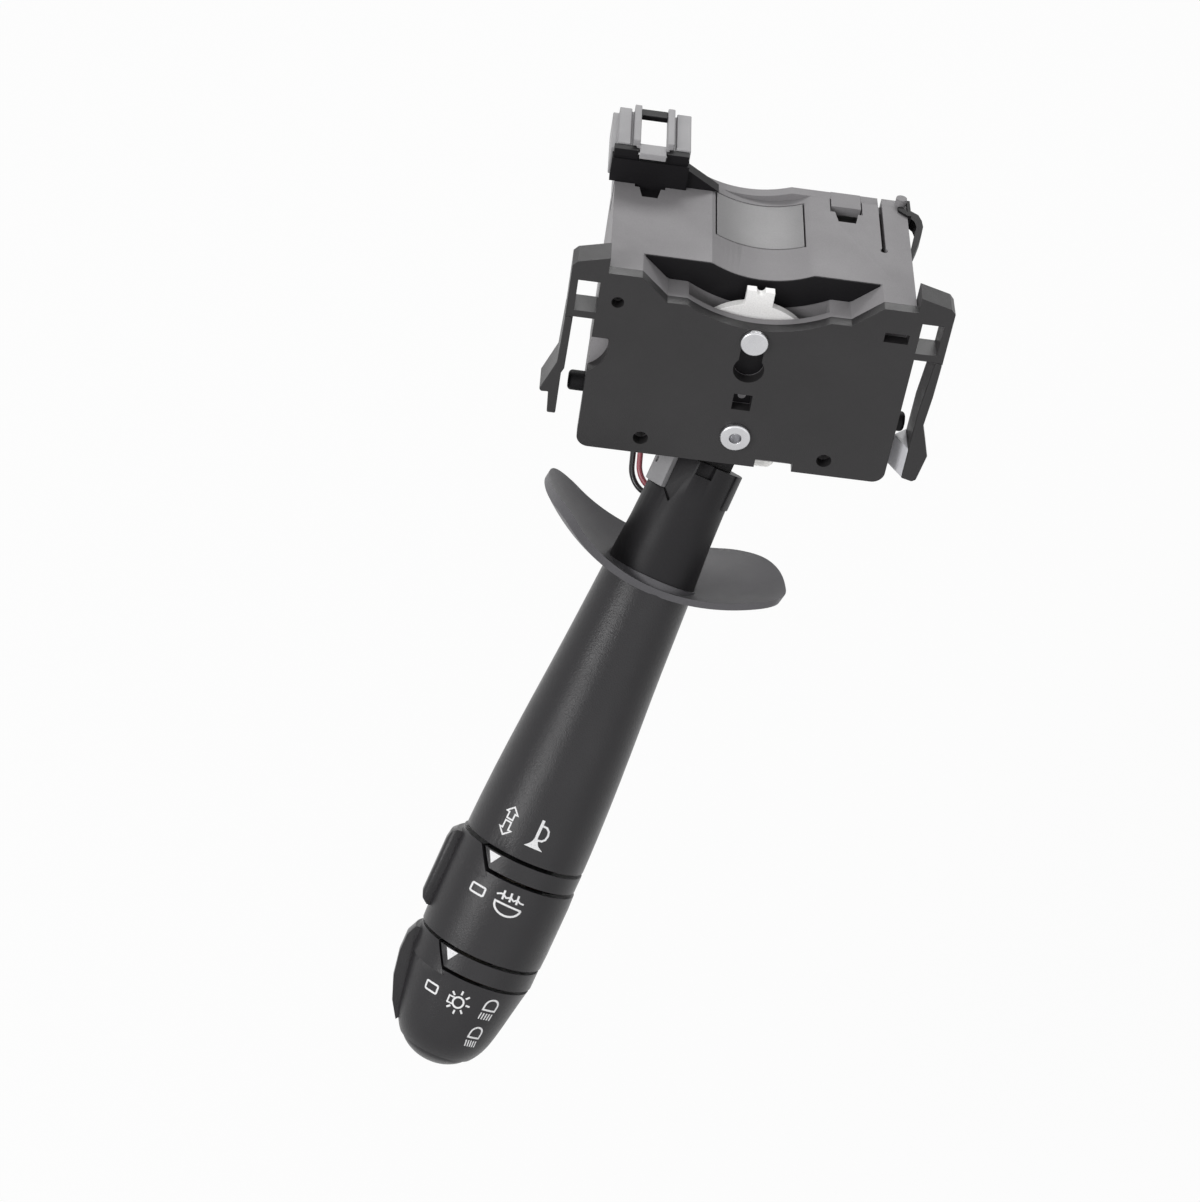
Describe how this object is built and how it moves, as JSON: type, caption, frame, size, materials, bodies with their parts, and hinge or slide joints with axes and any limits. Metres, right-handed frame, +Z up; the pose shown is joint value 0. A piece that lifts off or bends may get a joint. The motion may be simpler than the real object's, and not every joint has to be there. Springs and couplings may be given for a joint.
{
  "type": "combination stalk switch",
  "caption": "Steering column stalk switch: a box with a side stalk that turns for signals and pulls to flash, with turning lamp rings, a horn button tip and side clips.",
  "frame": {"origin": "where the turning axis of the stalk meets the rear seat of the box", "axes": "+X to the driver's right, +Y forward from the driver through the box to its rear seat, +Z up towards the steering column"},
  "size_m": [0.0924, 0.1139, 0.1719],
  "materials": {
    "housing_grey": "light grey moulded housing, satin",
    "lid_grey": "pale grey smooth panel",
    "plate_black": "black fine-grained moulding",
    "stalk_black": "soft black satin stalk",
    "neck_black": "smooth black",
    "shield_grey": "dark grey satin",
    "connector_grey": "pale grey connector shell",
    "connector_black": "deep black",
    "cam_natural": "natural acetal",
    "pad_pale": "pale smooth pad",
    "pin_steel": "turned bright steel",
    "spring_steel": "spring wire",
    "contact_brass": "stamped brass",
    "board_brown": "phenolic board",
    "yoke_natural": "glass-filled nylon",
    "red_wire": "dark red insulation",
    "black_wire": "black insulation",
    "clip_grey": "light grey clip",
    "buffer_white": "pale soft buffer"
  },
  "bodies": {
    "housing": {"housing": "housing_grey", "front_plate": "plate_black", "rear_cover": "housing_grey", "rear_cover_screws": "pin_steel", "scoop_lid": "lid_grey", "connector_base": "connector_black", "connector_shell": "connector_grey", "connector_lock_bar": "connector_black", "connector_terminals": "contact_brass", "contact_board": "board_brown", "contact_tracks": "contact_brass", "detent_track": "yoke_natural", "pivot_rivet": "pin_steel", "corner_hook": "connector_black", "turn_stop_buffer": "buffer_white", "cancel_spring": "spring_steel", "side_pegs": "connector_black"},
    "turn_yoke": {"turn_yoke": "yoke_natural", "cross_pin": "pin_steel", "turn_contact_slider": "contact_brass", "detent_spring": "spring_steel"},
    "detent_plunger": {"detent_plunger": "pin_steel"},
    "lever": {"neck": "neck_black", "stalk_shell": "stalk_black", "finger_shield": "shield_grey", "inner_tube": "yoke_natural", "fog_pointer_band": "stalk_black", "light_pointer_band": "stalk_black", "fog_contact_disc": "board_brown", "light_contact_disc": "board_brown", "horn_contact": "contact_brass", "wire_clip": "clip_grey", "pull_spring": "spring_steel", "red_lead": "red_wire", "black_lead": "black_wire", "horn_spring": "spring_steel"},
    "fog_ring": {"fog_ring": "stalk_black", "fog_wiper": "contact_brass"},
    "light_ring": {"light_ring": "stalk_black", "light_wiper": "contact_brass"},
    "horn_button": {"horn_button": "stalk_black"},
    "cancel_cam": {"cancel_cam": "cam_natural", "cam_pin": "pin_steel"},
    "left_clip": {"left_clip": "plate_black"},
    "right_clip": {"right_clip": "plate_black", "clip_pad": "pad_pale"}
  },
  "joints": [
    {"name": "turn_signal", "type": "hinge", "parent": "housing", "child": "turn_yoke", "pos_m": [0, 0, 0], "axis": [0, 1, 0], "range_deg": [-10.5, 10.5]},
    {"name": "detent_press", "type": "slide", "parent": "turn_yoke", "child": "detent_plunger", "axis": [-0.3371, 0, -0.9415], "range_m": [0, 0.0012], "stiffness_N_per_m": 600, "springref_m": -0.001, "deforming": ["detent_spring"]},
    {"name": "headlamp_flash", "type": "hinge", "parent": "turn_yoke", "child": "lever", "pos_m": [0.00125, -0.02, 0], "axis": [-0.9415, 0, 0.3371], "range_deg": [0, 6], "stiffness_Nm_per_rad": 4, "springref_deg": -3.44, "deforming": ["pull_spring", "red_lead", "black_lead"]},
    {"name": "fog_ring_turn", "type": "hinge", "parent": "lever", "child": "fog_ring", "pos_m": [0.00125, -0.02, 0], "axis": [-0.2919, -0.5, -0.8153], "range_deg": [0, 30]},
    {"name": "light_ring_turn", "type": "hinge", "parent": "lever", "child": "light_ring", "pos_m": [0.00125, -0.02, 0], "axis": [-0.2919, -0.5, -0.8153], "range_deg": [0, 63]},
    {"name": "horn_press", "type": "slide", "parent": "lever", "child": "horn_button", "axis": [0.2919, 0.5, 0.8153], "range_m": [0, 0.0015], "stiffness_N_per_m": 800, "springref_m": -0.001, "deforming": ["horn_spring"]},
    {"name": "cancel_swing", "type": "hinge", "parent": "housing", "child": "cancel_cam", "pos_m": [0, -0.034, 0.0226], "axis": [0, 1, 0], "range_deg": [-12, 12], "stiffness_Nm_per_rad": 0.05, "deforming": ["cancel_spring"]},
    {"name": "left_clip_squeeze", "type": "hinge", "parent": "housing", "child": "left_clip", "pos_m": [-0.03575, -0.0365, 0.0222], "axis": [0, -1, 0], "range_deg": [0, 3], "stiffness_Nm_per_rad": 0.5, "springref_deg": -1.15},
    {"name": "right_clip_squeeze", "type": "hinge", "parent": "housing", "child": "right_clip", "pos_m": [0.03575, -0.0365, 0.0222], "axis": [0, 1, 0], "range_deg": [0, 3], "stiffness_Nm_per_rad": 0.5, "springref_deg": -1.15}
  ]
}
